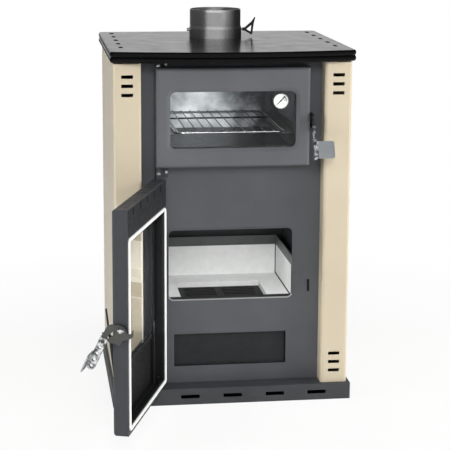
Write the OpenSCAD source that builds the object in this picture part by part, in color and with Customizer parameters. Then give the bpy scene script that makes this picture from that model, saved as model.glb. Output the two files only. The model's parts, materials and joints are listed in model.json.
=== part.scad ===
// Wood-fired boiler stove: an oven over a water-jacketed firebox, with an ash drawer below.
// Millimetres. +Z is up, +X is right and the front faces -Y.
// The origin is the middle of the plinth, on the floor.

/* [Casing] */
// Width over the side panels
body_w = 634; // [620:2:700]
// Width of each front corner column
column_w = 73; // [66:1:76]
// Round corners of the columns
column_r = 8; // [4:0.5:12]
// Depth from the column fronts to the front panel
panel_recess = 45; // [42:1:60]
// Thickness of the thin casing sheet
skin_t = 1.5; // [1:0.1:2.5]
// Thickness of the steel front panel
panel_t = 3; // [2:0.5:5]
// Folded edge of a casing sheet
fold_w = 14; // [8:1:20]
// Gap from the casing's back to the plinth's back edge
back_step = 20; // [5:1:30]
// Length of a vent slot in a column
vent_l = 31; // [20:1:40]
// Height of a vent slot in a column
vent_h = 9; // [5:0.5:12]
// Spacing of the vent slots in a column
vent_pitch = 24; // [16:0.5:32]
// From a column's end to its first vent slot
vent_end = 34; // [24:0.5:60]

/* [Plinth] */
// Depth of the plinth
plinth_d = 560; // [540:5:700]
// Height of the plinth
plinth_h = 45; // [36:1:70]
// Wall of the plinth
plinth_t = 2; // [1.5:0.25:3]
// How far the plinth stands out at each side
plinth_lip = 8; // [3:0.5:20]
// How far the plinth stands ahead of the columns
plinth_step = 12; // [4:0.5:20]
// Upturned edge of the base pan
pan_edge_h = 14; // [6:0.5:16]
// Length of an air slot in the plinth
air_slot_l = 51; // [30:1:70]
// Height of an air slot in the plinth
air_slot_h = 10; // [5:0.5:14]
// Spacing of the air slots in the plinth
air_slot_pitch = 116; // [90:1:130]
// Width of the air hole up into the ash box
air_hole_w = 120; // [80:1:160]
// Depth of the air hole up into the ash box
air_hole_d = 30; // [16:1:34]

/* [Hob] */
// Depth of the hob rim
rim_h = 29; // [20:0.5:40]
// How far the rim beads stand out from the plate
rim_bulge = 5; // [3:0.25:8]
// Bow of the hob's front edge
hob_bow = 40; // [15:1:70]
// Corner radius of the hob
hob_r = 15; // [12:0.5:24]
// Thickness of the hob plate
hob_t = 5; // [3:0.5:8]
// How far the hob reaches behind the casing
hob_back = 43; // [10:1:60]
// Shadow gap between the casing and the rim
shadow_gap = 4; // [2:0.5:8]
// Length of a vent slot in the hob
hob_vent_l = 36; // [20:1:50]
// Width of a vent slot in the hob
hob_vent_w = 11; // [6:0.5:16]
// From the plinth's front to the middle of the hob's first vent slots
hob_vent_front = 115; // [100:1:140]
// From the casing's back to the middle of the hob's last vent slots
hob_vent_back = 19; // [17:1:60]
// From the hob's edge to the middle of its vent slots
hob_vent_in = 35; // [26:0.5:50]
// Length of the lifting slot in the hob
lift_l = 20; // [12:0.5:40]

/* [Flue] */
// Outer diameter of the flue spigot
spigot_d = 145; // [110:1:160]
// Length of the straight spigot
spigot_l = 40; // [30:1:70]
// Height of the wider ring that the spigot grows from
ring_h = 26; // [26:0.5:40]
// How much the ring is wider than the spigot, at each side
ring_step = 2.5; // [1:0.25:5]
// Height of the taper from the ring to the spigot
ring_taper = 7.75; // [3:0.25:14]
// Taper at the spigot's mouth
mouth_h = 6; // [3:0.5:10]
// Wall of the flue collar
flue_t = 2; // [1.5:0.25:4]
// From the flue's middle to the casing's back
flue_in = 134; // [110:1:160]
// Height of the damper spindle above the hob
spindle_up = 21; // [20.5:0.5:22]
// Diameter of the damper spindle
spindle_d = 8; // [6:0.5:9]
// Free space around the damper disc
damper_gap = 12; // [11:0.5:20]

/* [Doors] */
// From a column to the doors
door_side = 39; // [36:0.5:44]
// Thickness of both doors
door_t = 40; // [36:1:44]
// Height of the firebox door
fire_door_h = 568; // [550:2:640]
// Height of the oven door
oven_door_h = 264; // [258:1:300]
// Gap between the firebox door and the plinth
door_gap = 4; // [3.5:0.25:6]
// Space between the two doors
door_spacing = 33; // [30:1:50]
// Casing above the oven door
head_h = 13; // [13:0.5:30]
// Sheet of the doors
door_sheet = 2; // [1.5:0.25:2.5]
// Round edges of the doors
door_r = 9; // [5:0.5:12]
// Band of thick sheet that holds the rope
band_t = 6; // [5:0.5:8]
// Gap between the closed doors and the panel
door_clear = 5; // [4.6:0.1:5.5]
// Diameter of the rope seal
rope_d = 8.6; // [8:0.1:9]
// From a door's hinge edge to the middle of the rope
rope_hinge_in = 16.3; // [15:0.1:20]
// From a door's free edge to the middle of the rope
rope_free_in = 9.3; // [9:0.1:12]
// From a door's bottom edge to the middle of the rope
rope_foot_in = 14.3; // [10:0.1:18]
// Slope width of the pressed window borders
press_w = 10; // [6:0.5:11]
// Depth of the pressed window borders
press_depth = 5; // [3:0.25:6]
// Thickness of the door glass
glass_t = 4; // [3:0.25:5]
// From the firebox door's sides to its window
fire_win_in = 34; // [33:0.5:55]
// From the firebox door's top to its window
fire_win_top = 87; // [85:1:150]
// From the firebox door's bottom to its window
fire_win_up = 167; // [150:1:180]
// From the oven door's sides to its window
oven_win_in = 37.5; // [35:0.5:60]
// From the oven door's top to its window
oven_win_top = 63; // [56:1:90]
// From the oven door's bottom to its window
oven_win_up = 51; // [48:0.5:60]
// Corner radius of the windows
win_r = 15; // [8:0.5:24]
// How far open the firebox door stands, in degrees
fire_door_open = 108.5; // [0:0.5:120]
// Height of the air duct in the firebox door's head
duct_h = 67; // [50:0.5:69]
// Number of louvres over the air duct
louvres = 17; // [9:1:17]
// Width of a louvre
louvre_w = 6; // [3:0.5:9]

/* [Hinges and latches] */
// Diameter of the hinge pins
pin_d = 8; // [6:0.5:9]
// From the hinge edge of a door to its pin
hinge_in = 7; // [6.5:0.25:8]
// From the inner face of a door to its pin
hinge_back = 19; // [17:0.5:20]
// Radial clearance of a pin in its bush
pin_clear = 0.05; // [0.02:0.01:0.1]
// How deep a hinge pin reaches into a door
pin_l = 22; // [14:1:26]
// Thickness of a latch plate
latch_t = 4; // [3:0.25:4.25]
// Diameter of a latch pivot
pivot_d = 10; // [8:0.5:11]
// From a latch pivot out to the door's front face
pivot_back = 24.5; // [23:0.5:26]
// From the firebox door's bottom to its latch pivot
fire_pivot_up = 273; // [240:1:300]
// From the oven door's bottom to its latch pivot
oven_pivot_up = 128; // [120:1:136]
// Length of a latch grip
grip_l = 90; // [76:1:94]
// Width of a latch grip
grip_w = 20; // [18:0.5:21]
// Lean of a latch grip from upright, in degrees
grip_lean = 25; // [16:0.5:27]
// Width of the thumb plate on a grip
thumb_w = 49; // [40:1:60]
// Height of the thumb plate on a grip
thumb_h = 47; // [36:1:52]

/* [Firebox] */
// From a door's sides to the firing opening
fire_in = 36; // [35:0.5:45]
// Height of the firing opening
fire_h = 192; // [160:1:196]
// Corner radius of the firing opening
fire_r = 14; // [8:0.5:20]
// From the firebox door's bottom to the firing opening
fire_up = 231; // [222:1:250]
// From a door's sides to the ash opening
ash_in = 51; // [47:0.5:60]
// Height of the ash opening
ash_h = 91; // [80:1:100]
// From the firebox door's bottom to the ash opening
ash_up = 42; // [36:1:50]
// Room between the water jacket and the back panel
back_room = 46; // [36:1:60]
// Thickness of the fire bricks
brick_t = 24; // [20:1:26]
// Height of the fire bricks
brick_h = 85; // [70:1:100]
// Height of the strip that stands on the bricks
retainer_h = 27; // [20:1:40]
// Thickness of the hearth brick
hearth_t = 22; // [16:1:26]
// From the firing opening's sides to the grate
grate_in = 51; // [45:0.5:64]
// From the front panel to the grate
grate_front = 23; // [18:1:35]
// From the grate to the firebox's back
grate_end = 87; // [75:1:100]
// Thickness of the grate
grate_t = 8; // [6:0.5:12]
// Height of the flue way between the water jacket and the oven
flue_way = 45; // [41:1:60]
// Room for the latch hooks between the front panel and the water jacket
latch_room = 12; // [11:0.5:20]
// Water space at the sides
jacket_side = 48; // [40:1:50]
// Water space at the back
jacket_back = 150; // [120:1:160]
// Plate of the water jacket
boiler_t = 4; // [3:0.5:6]
// Outer diameter of a water socket
socket_d = 42; // [38:0.5:50]
// Bore of a water socket
socket_bore = 30.3; // [26:0.1:33]
// How far a water socket stands out of the back panel
socket_out = 25; // [15:1:40]

/* [Oven] */
// From a door's sides to the inside of the oven
oven_in = 30; // [29:0.5:37]
// From the oven door's top to the oven's ceiling
oven_top_in = 34; // [31:1:49]
// From the oven door's bottom to the oven floor
oven_up = 35; // [33:0.5:37]
// Flue way behind the oven
oven_gap = 5; // [2:0.5:30]
// Height of the rack above the oven floor
rack_up = 49; // [24:1:80]
// From the oven's sides to its rack
rack_side = 24; // [20:0.5:30]
// Spacing of the rack wires
rack_pitch = 26; // [20:0.5:30]
// Diameter of a rack wire
wire_d = 3; // [2:0.25:4]
// Diameter of the rack frame
rail_d = 5; // [4.5:0.25:6]
// Diameter of the thermometer
dial_d = 45.5; // [40:0.5:46]
// From the oven window's right side to the middle of the thermometer
dial_in = 42; // [26:0.5:70]
// From the oven window's top to the middle of the thermometer
dial_down = 25.5; // [24:0.5:40]

/* [Ash drawer] */
// How far the ash drawer reaches behind the firebox
drawer_over = 11; // [0:1:19]
// Sheet of the ash drawer
drawer_t = 1.5; // [1:0.25:2.5]
// Side clearance of the ash drawer
drawer_clear = 2; // [1:0.25:4]
// How far the drawer front is set back in its opening
drawer_back = 12; // [6:1:20]

/* [Hidden] */

$fn = 48;
cut = 1;     // overrun of a cut
seat = 0.3;  // gap between pieces that rest near each other
oven_t = 2;  // sheet of the oven

cream = "#d6c9b0";
cream_side = "#c8c0b2";
grey = "#696a6d";
grey_dark = "#46484b";
door_black = "#2b2c2d";
black = "#151515";
steel = "#8f8f8c";
bright = "#c9cacb";
brick = "#cfcfce";
rope_white = "#f0efea";

// Planes from front to back
plinth_front = -plinth_d / 2;
column_front = plinth_front + plinth_step;
panel_front = column_front + panel_recess;
panel_back = panel_front + panel_t;
body_back = plinth_d / 2 - back_step;
door_inner = panel_front - door_clear;
seam_y = column_front + column_r;
jacket_front = panel_back + latch_room;
jacket_outer_back = body_back - back_room;
jacket_inner_back = jacket_outer_back - jacket_back;
firebox_back = jacket_inner_back - brick_t;
firebox_d = firebox_back - panel_back;
drawer_front = panel_front + drawer_back;
drawer_end = firebox_back + drawer_over;
oven_back = jacket_outer_back - flue_t - oven_gap;
flue_y = body_back - flue_in;

// Heights
body_base = plinth_h;
fire_door_z = plinth_h + door_gap;
oven_door_z = fire_door_z + fire_door_h + door_spacing;
body_top = oven_door_z + oven_door_h + head_h;
rim_z = body_top + shadow_gap;
hob_z = rim_z + rim_h;
hob_under = hob_z - hob_t;
ash_z = fire_door_z + ash_up;
fire_z = fire_door_z + fire_up;
oven_z = oven_door_z + oven_up;
oven_h = oven_door_h - oven_up - oven_top_in;
fire_win_h = fire_door_h - fire_win_up - fire_win_top;
oven_win_h = oven_door_h - oven_win_up - oven_win_top;
jacket_z = fire_z - hearth_t;
jacket_top = oven_z - oven_t - flue_way;
brick_top = fire_z + brick_h;
rack_z = oven_z + rack_up;
spindle_z = hob_z + spindle_up;

// Widths
panel_w = body_w - 2 * column_w;
plinth_w = body_w + 2 * plinth_lip;
door_w = panel_w - 2 * door_side;
fire_w = door_w - 2 * fire_in;
ash_w = door_w - 2 * ash_in;
oven_w = door_w - 2 * oven_in;
fire_win_w = door_w - 2 * fire_win_in;
oven_win_w = door_w - 2 * oven_win_in;
grate_w = fire_w - 2 * grate_in;
rack_w = oven_w - 2 * rack_side;
brick_face = fire_w / 2 - seat;
jacket_in = brick_face + brick_t;
jacket_out = jacket_in + jacket_side;

// A door's own frame: its origin is on the hinge pin at the door's bottom edge
hinge_x = -door_w / 2 + hinge_in;
hinge_y = door_inner - hinge_back;
louvre_span_share = 0.82;   // width that the louvres take, as a share of the door's
louvre_pitch = louvre_span_share * door_w / (louvres - 1);
slit_pitch_share = 0.175;   // spacing of the slits in the air cover, as a share of the door's width
door_x0 = -hinge_in;
door_x1 = door_w - hinge_in;
door_mid = door_w / 2 - hinge_in;
door_back = hinge_back;
door_face = hinge_back - door_t;
rope_y = door_back + door_clear - seat - rope_d / 2;
band_lip = rope_d / 2 + 3 / 2 * door_sheet;
rope_x0 = door_x0 + rope_hinge_in;
rope_x1 = door_x1 - rope_free_in;
bush_d = pin_d + 2 * door_sheet;
glass_y = door_face + press_depth + door_sheet;
glass_lap = 5 / 2 * door_sheet;

// A latch's own frame: its origin is on the pivot's axis
pivot_y = door_face + pivot_back;
spacer_l = latch_t - 5 / 2 * seat;
lever_x = door_x1 + spacer_l + seat / 2;
hook_x = lever_x + latch_t;
slot_x = hinge_x + hook_x + latch_t / 2;
slot_w = latch_t + 10 * seat;

screw_d = 10;
screw_h = 3;
head_share = 0.6;    // a screw head's flat top and the depth of its drive
drive_share = 0.45;  // width of its drive

// Box from its low corner to its high corner.
module span(lo, hi) {
    translate(lo) cube(hi - lo);
}

// Centred rectangle with round corners.
module round_rect(w, h, r) {
    square([w - 2 * r, h], center = true);
    square([w, h - 2 * r], center = true);
    for (x = [-1, 1], y = [-1, 1]) translate([x * (w / 2 - r), y * (h / 2 - r)]) circle(r);
}

// Outline w wide and d deep whose two front corners are round.
module round_front(w, d, r) {
    translate([0, r]) square([w, d - r]);
    translate([r, 0]) square([w - 2 * r, d]);
    for (x = [r, w - r]) translate([x, r]) circle(r);
}

// Block with round edges round its front face.
module round_faced_block(w, d, h, r) {
    intersection() {
        linear_extrude(h) round_front(w, d, r);
        translate([0, 0, h]) rotate([0, 90, 0]) linear_extrude(w) round_front(h, d, r);
    }
}

// A flat shape drawn in X and Z, and given a thickness in Y from y0 to y1.
module upright(y0, y1) {
    translate([0, y1, 0]) rotate([90, 0, 0]) linear_extrude(y1 - y0) children();
}

// A flat shape drawn in Y and Z, and given a thickness in X from x0 to x1.
module sideways(x0, x1) {
    translate([x0, 0, 0]) rotate([90, 0, 90]) linear_extrude(x1 - x0) children();
}

module pin(x0, x1, d) {
    translate([x0, 0, 0]) rotate([0, 90, 0]) cylinder(h = x1 - x0, d = d);
}

// Screw with a low domed head; the head stands out towards -Y from y = 0.
module screw_head(d = screw_d, h = screw_h) {
    rotate([90, 0, 0]) difference() {
        union() {
            cylinder(h = h / 2, d = d);
            translate([0, 0, h / 2]) cylinder(h = h / 2, d1 = d, d2 = head_share * d);
        }
        translate([0, 0, head_share * h]) cylinder(h = h, d = drive_share * d, $fn = 6);
    }
}

// Plinth

module base_pan() {
    w = plinth_w / 2 - plinth_t;
    d = plinth_d / 2 - plinth_t;
    color(black) difference() {
        span([-w, -d, 0], [w, d, pan_edge_h]);
        span([-w + plinth_t, -d + plinth_t, plinth_t], [w - plinth_t, d - plinth_t, pan_edge_h + cut]);
    }
}

air_hole_y = drawer_end + 4 * plinth_t;

// The hole that lets air up from the plinth, behind the ash drawer.
module air_hole(z0, z1) {
    span([-air_hole_w / 2, air_hole_y, z0], [air_hole_w / 2, air_hole_y + air_hole_d, z1]);
}

module plinth() {
    w = plinth_w / 2;
    d = plinth_d / 2;
    color(grey_dark) difference() {
        span([-w, -d, 0], [w, d, plinth_h]);
        span([-w + plinth_t, -d + plinth_t, -cut], [w - plinth_t, d - plinth_t, plinth_h - plinth_t]);
        for (i = [-2:2])
            translate([i * air_slot_pitch, 0, plinth_h / 2])
                upright(-d - cut, -d + plinth_t + cut)
                    round_rect(air_slot_l, air_slot_h, air_slot_h / 5);
        air_hole(plinth_h - plinth_t - cut, plinth_h + cut);
    }
}

// Casing

lip_w = panel_t;       // rolled lip round the firing opening
lip_h = 2 / 3 * panel_t;
slot_up_share = 0.14;  // latch slot above and below the pivot, as shares of the hook's reach
slot_down_share = 0.94;

module latch_slot(pivot_z) {
    span([slot_x - slot_w / 2, panel_front - cut, pivot_z - slot_down_share * hook_l],
         [slot_x + slot_w / 2, panel_back + cut, pivot_z + slot_up_share * hook_l]);
}

module front_panel() {
    color(grey) difference() {
        union() {
            span([-panel_w / 2, panel_front, body_base], [panel_w / 2, panel_back, body_top]);
            translate([0, 0, fire_z + fire_h / 2]) upright(panel_front - lip_h, panel_back)
                round_rect(fire_w + 2 * lip_w, fire_h + 2 * lip_w, fire_r + lip_w);
        }
        translate([0, 0, fire_z + fire_h / 2]) upright(panel_front - lip_h - cut, panel_back + cut)
            round_rect(fire_w, fire_h, fire_r);
        translate([0, 0, oven_z + oven_h / 2]) upright(panel_front - cut, panel_back + cut)
            round_rect(oven_w, oven_h, fire_r);
        span([-ash_w / 2, panel_front - cut, ash_z], [ash_w / 2, panel_back + cut, ash_z + ash_h]);
        latch_slot(fire_door_z + fire_pivot_up);
        latch_slot(oven_door_z + oven_pivot_up);
    }
}

module column_profile() {
    depth = panel_recess + panel_t;
    difference() {
        round_front(column_w, depth, column_r);
        translate([skin_t, skin_t]) round_front(column_w - 2 * skin_t, depth, column_r - skin_t);
        translate([-cut, column_r]) square([cut + skin_t, depth]);
    }
    translate([skin_t / 2, column_r - skin_t]) square([fold_w, skin_t]);
}

// The column at -X; its outer side ends in a fold at the seam with the side panel.
module column() {
    h = body_top - body_base;
    color(cream) translate([-body_w / 2, column_front, body_base]) difference() {
        linear_extrude(h) column_profile();
        for (i = [0:2], z = [vent_end + i * vent_pitch, h - vent_end - i * vent_pitch])
            translate([column_w / 2, 0, z]) upright(-cut, skin_t + cut)
                round_rect(vent_l, vent_h, vent_h / 6);
    }
}

module column_left() column();
module column_right() mirror([1, 0, 0]) column();

module side_panel() {
    x = -body_w / 2;
    y = body_back - skin_t;
    color(cream_side) {
        span([x, seam_y, body_base], [x + skin_t, y, body_top]);
        span([x, seam_y, body_base], [x + fold_w, seam_y + skin_t, body_top]);
        span([x, y - skin_t, body_base], [x + fold_w, y, body_top]);
    }
}

module side_panel_left() side_panel();
module side_panel_right() mirror([1, 0, 0]) side_panel();

// The sockets lie behind the water spaces at the sides, flow on top and return below.
socket_x = jacket_out - jacket_side / 2;
flow_place = [-socket_x, jacket_outer_back, jacket_top - socket_d];
return_place = [socket_x, jacket_outer_back, jacket_z + socket_d];

module bore_back(place, l, d) {
    translate(place) rotate([-90, 0, 0]) translate([0, 0, -cut]) cylinder(h = l + 2 * cut, d = d);
}

screw_share = 0.06;    // how far the rear screws stand in from the panel's edges

module rear_screw_places() {
    w = body_w * (0.5 - screw_share / 4);
    for (x = [-w, w], s = [screw_share, 1 / 3, 2 / 3, 1 - screw_share])
        translate([x, body_back, body_base + s * (body_top - body_base)]) children();
}

module back_panel() {
    color(grey_dark) difference() {
        span([-body_w / 2, body_back - skin_t, body_base], [body_w / 2, body_back, body_top]);
        for (p = [flow_place, return_place])
            bore_back(p, body_back - jacket_outer_back, socket_d + 4 * seat);
    }
}

module panel_screws() {
    color(steel) rear_screw_places() rotate([0, 0, 180]) screw_head();
}

// Frame of upright sheet that carries the hob, with a fold round its foot.
module top_frame() {
    w = body_w / 2;
    top = hob_under - skin_t;
    color(black) difference() {
        span([-w, panel_front, body_top], [w, body_back, top]);
        span([-w + fold_w, panel_back, body_top - cut], [w - fold_w, body_back - fold_w, top + cut]);
        span([-w + skin_t, panel_back, body_top + skin_t], [w - skin_t, body_back - skin_t, top + cut]);
    }
}

// Hob

// Points of an arc from angle a to angle b in n steps, without the first and last few to skip.
function arc(c, r, a, b, n, skip = 0) =
    [for (i = [skip:n - skip]) c + r * [cos(a + (b - a) * i / n), sin(a + (b - a) * i / n)]];

// Points of the hob's outline, drawn in by e: a shallow arc in front, round corners all about.
function hob_loop(e) =
    let (a = plinth_w / 2,
         r = (a * a + hob_bow * hob_bow) / (2 * hob_bow),
         cy = plinth_front - hob_bow + r,
         kx = a - hob_r,
         ky = cy - sqrt(pow(r - hob_r, 2) - kx * kx),
         by = body_back + hob_back - hob_r,
         phi = 360 + atan2(ky - cy, -kx))
    concat(arc([-kx, ky], hob_r - e, 180, phi, 6),
           arc([0, cy], r - e, phi, 540 - phi, 28, 1),
           arc([kx, ky], hob_r - e, 540 - phi, 360, 6),
           arc([kx, by], hob_r - e, 0, 90, 6),
           arc([-kx, by], hob_r - e, 90, 180, 6));

lift_shares = [-0.008, -1.5];  // place of the lifting slot, by the plinth's width and the spigot
hob_vent_pitch = (body_back - hob_vent_back - plinth_front - hob_vent_front) / 4;
lift_place = [lift_shares.x * plinth_w, flue_y + lift_shares.y * spigot_d];

module hob_plate() {
    color(black) translate([0, 0, hob_under]) linear_extrude(hob_t) difference() {
        polygon(hob_loop(rim_bulge));
        translate([0, flue_y]) circle(d = spigot_d + 2 * seat);
        for (x = [-1, 1], i = [0:4])
            translate([x * (plinth_w / 2 - hob_vent_in), plinth_front + hob_vent_front + i * hob_vent_pitch])
                round_rect(hob_vent_w, hob_vent_l, hob_vent_w / 4);
        translate(lift_place) round_rect(lift_l, lift_l / 5, lift_l / 16);
    }
}

groove_share = 0.8;    // depth of the groove between the beads, as a share of their bulge

function bead(k, n) =
    [for (i = [0:n - 1]) let (a = -90 + 180 * i / n)
        [groove_share * rim_bulge * (1 - cos(a)), rim_z + rim_h * (k + (1 + sin(a)) / 2) / 2]];

// Rim of two rolled beads, one above the other, with a ledge that the plate lies on.
module hob_rim() {
    wall = rim_bulge + skin_t;
    ledge = rim_bulge + 2 * hob_t;
    profile = concat(bead(0, 6), bead(1, 6), [
        [groove_share * rim_bulge, hob_z], [rim_bulge, hob_z], [rim_bulge, hob_under],
        [ledge, hob_under], [ledge, hob_under - skin_t], [wall, hob_under - skin_t], [wall, rim_z]
    ]);
    loops = [for (p = profile) hob_loop(p[0])];
    m = len(profile);
    n = len(loops[0]);
    points = [for (j = [0:m - 1], i = [0:n - 1]) [loops[j][i].x, loops[j][i].y, profile[j][1]]];
    faces = [for (j = [0:m - 1], i = [0:n - 1])
        let (j1 = (j + 1) % m, i1 = (i + 1) % n) [j * n + i, j1 * n + i, j1 * n + i1, j * n + i1]];
    color(black) polyhedron(points, faces, convexity = 6);
}

// Flue

spigot_r = spigot_d / 2;
ring_r = spigot_r + ring_step;

module flue_collar() {
    r = spigot_r - flue_t;
    z = hob_z + ring_h;
    top = z + ring_taper + spigot_l;
    color(steel) translate([0, flue_y, 0]) difference() {
        rotate_extrude($fn = 96) polygon([
            [r, hob_under - hob_t], [spigot_r, hob_under - hob_t], [spigot_r, hob_z], [ring_r, hob_z],
            [ring_r, z], [spigot_r, z + ring_taper], [spigot_r, top],
            [spigot_r - flue_t / 4, top + mouth_h], [r, top + mouth_h]
        ]);
        translate([0, 0, spindle_z]) pin(-ring_r - cut, ring_r + cut, spindle_d + 2 * pin_clear);
    }
}

handle_x = ring_r + 3 / 4 * spindle_d;
stop_share = 1.3;      // the spindle's other end, as a share of its diameter

// The handle's plate, its long corner and its opening, as shares of the spindle's diameter
handle_shares = [[0.6, 0], [3.4, 2.4], [2.9, -1.4]];
handle_tip_shares = [4.2, 4.1];
handle_hole_shares = [[1.2, 0], [3, 1.5], [2.75, -0.95]];

module damper_disc() {
    color(steel) translate([0, flue_y, spindle_z]) {
        pin(-ring_r - spindle_d / 2, handle_x + 3 / 4 * spindle_d, spindle_d);
        pin(-ring_r - spindle_d / 2 - flue_t, -ring_r - spindle_d / 2, stop_share * spindle_d);
        rotate([90, 0, 0]) cylinder(h = flue_t, r = spigot_r - flue_t - damper_gap, center = true, $fn = 96);
    }
}

// Loop of flat bar on the spindle's end, with one long corner to hold it by.
module damper_handle() {
    d = spindle_d;
    color(grey_dark) translate([handle_x, flue_y, spindle_z]) difference() {
        union() {
            pin(-d / 4, d, 5 / 4 * d);
            upright(-flue_t * 3 / 4, flue_t * 3 / 4) difference() {
                union() {
                    hull() for (p = handle_shares) translate(p * d) circle(d / 2);
                    hull() {
                        translate(handle_shares[1] * d) circle(d / 2);
                        translate(handle_tip_shares * d) circle(d / 5);
                    }
                }
                polygon(handle_hole_shares * d);
            }
        }
        pin(-d, 3 / 4 * d, d);
    }
}

// Smoke box round the oven, from the water jacket up to the hob.
module flue_casing() {
    w = jacket_out;
    color(grey_dark) difference() {
        span([-w, panel_back, jacket_top], [w, jacket_outer_back, hob_under]);
        span([-w + flue_t, panel_back - cut, jacket_top - cut],
             [w - flue_t, jacket_outer_back - flue_t, hob_under + cut]);
    }
}

// Firebox

// Outer shell of the water jacket, a U in plan, with its top and bottom plates.
module boiler_vessel() {
    t = boiler_t;
    color(door_black) difference() {
        span([-jacket_out, jacket_front, jacket_z], [jacket_out, jacket_outer_back, jacket_top]);
        span([-jacket_in - t, jacket_front - cut, jacket_z - cut],
             [jacket_in + t, jacket_inner_back + t, jacket_top + cut]);
        span([-jacket_out + t, jacket_front + t, jacket_z + t],
             [jacket_out - t, jacket_outer_back - t, jacket_top - t]);
        for (p = [flow_place, return_place]) translate([0, -t, 0]) bore_back(p, t, socket_bore);
    }
}

// Wall between the water and the fire, welded in between the top and bottom plates.
module boiler_inner_wall() {
    t = boiler_t;
    color(door_black) difference() {
        span([-jacket_in - t, jacket_front, jacket_z], [jacket_in + t, jacket_inner_back + t, jacket_top]);
        span([-jacket_in, jacket_front - cut, jacket_z - cut],
             [jacket_in, jacket_inner_back, jacket_top + cut]);
    }
}

module water_socket(place) {
    l = body_back + socket_out - jacket_outer_back;
    color(steel) difference() {
        translate(place) rotate([-90, 0, 0]) cylinder(h = l, d = socket_d);
        bore_back(place, l, socket_bore);
    }
}

module flow_socket() water_socket(flow_place);
module return_socket() water_socket(return_place);

baffle_share = 0.6;    // depth of the baffle, as a share of the firebox's
baffle_d = baffle_share * firebox_d;

module baffle_plate() {
    z = jacket_top - 2 * brick_t;
    color(door_black) span([-jacket_in + seat, jacket_inner_back - baffle_d, z],
                           [jacket_in - seat, jacket_inner_back, z + 3 / 2 * boiler_t]);
}

module firebrick_back() {
    color(brick) span([-jacket_in + seat, firebox_back, fire_z],
                      [jacket_in - seat, jacket_inner_back - seat, brick_top]);
}

module firebrick_left() {
    color(brick) span([-jacket_in + seat, panel_back + seat, fire_z],
                      [-brick_face, firebox_back - seat, brick_top]);
}

module firebrick_right() mirror([1, 0, 0]) firebrick_left();

// Angle strip on top of the three bricks: one leg lies on them, the other stands.
module brick_retainer() {
    t = panel_t;
    z = brick_top;
    color(grey) difference() {
        span([-jacket_in + seat, panel_back + seat, z],
             [jacket_in - seat, jacket_inner_back - seat, z + retainer_h]);
        span([-brick_face, panel_back, z - cut], [brick_face, firebox_back, z + retainer_h + cut]);
        difference() {
            span([-jacket_in, panel_back, z + t], [jacket_in, jacket_inner_back, z + retainer_h + cut]);
            span([-brick_face - t, panel_back - cut, z],
                 [brick_face + t, firebox_back + t, z + retainer_h + 2 * cut]);
        }
    }
}

grate_share = -0.0415;  // how far the grate lies off the middle
grate_x = grate_share * fire_w;
grate_d = firebox_d - grate_front - grate_end;
grate_y = panel_back + grate_front + grate_d / 2;

module grate_hole(gap, z0, z1) {
    span([grate_x - grate_w / 2 - gap, grate_y - grate_d / 2 - gap, z0],
         [grate_x + grate_w / 2 + gap, grate_y + grate_d / 2 + gap, z1]);
}

module hearth() {
    color(brick) difference() {
        span([-jacket_in + seat, panel_back + seat, jacket_z],
             [jacket_in - seat, jacket_inner_back - seat, fire_z]);
        grate_hole(2 * seat, jacket_z - cut, fire_z + cut);
    }
}

grate_rows = 8;
slot_l_share = 0.38;   // length of the grate's slots, and their middle, across its width
slot_x_share = 0.23;
slot_y_share = 0.42;   // width of a slot, as a share of their spacing

module grate() {
    pitch = grate_d / (grate_rows + 1);
    l = slot_l_share * grate_w;
    w = slot_y_share * pitch;
    y0 = grate_y - grate_d / 2;
    color(door_black) difference() {
        grate_hole(0, jacket_z, jacket_z + grate_t);
        for (x = [-1, 1], i = [1:grate_rows])
            translate([grate_x + x * slot_x_share * grate_w, y0 + i * pitch, jacket_z - cut])
                linear_extrude(grate_t + 2 * cut) round_rect(l, w, w / 4);
    }
}

box_t = 2;             // sheet of the ash box
box_w = ash_w / 2 + box_t;
box_end = air_hole_y + air_hole_d + 4 * box_t;

// Skirt round the ash box, with the plate that carries the water jacket.
module ash_skirt() {
    color(grey_dark) difference() {
        span([-jacket_out, panel_back, body_base], [jacket_out, jacket_outer_back, jacket_z]);
        span([-jacket_out + box_t, panel_back - cut, body_base - cut],
             [jacket_out - box_t, jacket_outer_back - box_t, jacket_z - box_t]);
        grate_hole(-2 * box_t, jacket_z - box_t - cut, jacket_z + cut);
    }
}

// Channel for the drawer under the grate, on two upright sheets.
module ash_box() {
    color(grey_dark) {
        difference() {
            span([-box_w, panel_back, ash_z - box_t], [box_w, box_end + box_t, jacket_z - box_t]);
            span([-box_w + box_t, panel_back - cut, ash_z], [box_w - box_t, box_end, jacket_z]);
            air_hole(ash_z - box_t - cut, ash_z + cut);
        }
        for (x = [-1, 1])
            translate([x * 2 / 3 * box_w, 0, 0])
                span([-box_t / 2, panel_back, body_base], [box_t / 2, box_end, ash_z - box_t]);
    }
}

pan_side_share = 0.75; // height of the drawer's sides, as a share of the opening's

// Open drawer of thin sheet; its front has a fold along the top to pull it by.
module ash_pan() {
    w = ash_w / 2 - drawer_clear;
    wall = w - drawer_clear;
    z = ash_z + seat;
    top = ash_z + ash_h - drawer_clear;
    side = ash_z + pan_side_share * ash_h;
    t = drawer_t;
    color(door_black) {
        span([-w, drawer_front, z], [w, drawer_front + t, top]);
        span([-w / 3, drawer_front - 4 * t, top - t], [w / 3, drawer_front, top]);
        difference() {
            span([-wall, drawer_front, z], [wall, drawer_end, side]);
            span([-wall + t, drawer_front + t, z + t], [wall - t, drawer_end - t, side + cut]);
        }
    }
}

// Oven

module oven_box() {
    w = oven_w / 2;
    color(steel) difference() {
        span([-w - oven_t, panel_back, oven_z - oven_t],
             [w + oven_t, oven_back, oven_z + oven_h + oven_t]);
        span([-w, panel_back - cut, oven_z], [w, oven_back - oven_t, oven_z + oven_h]);
    }
}

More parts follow.
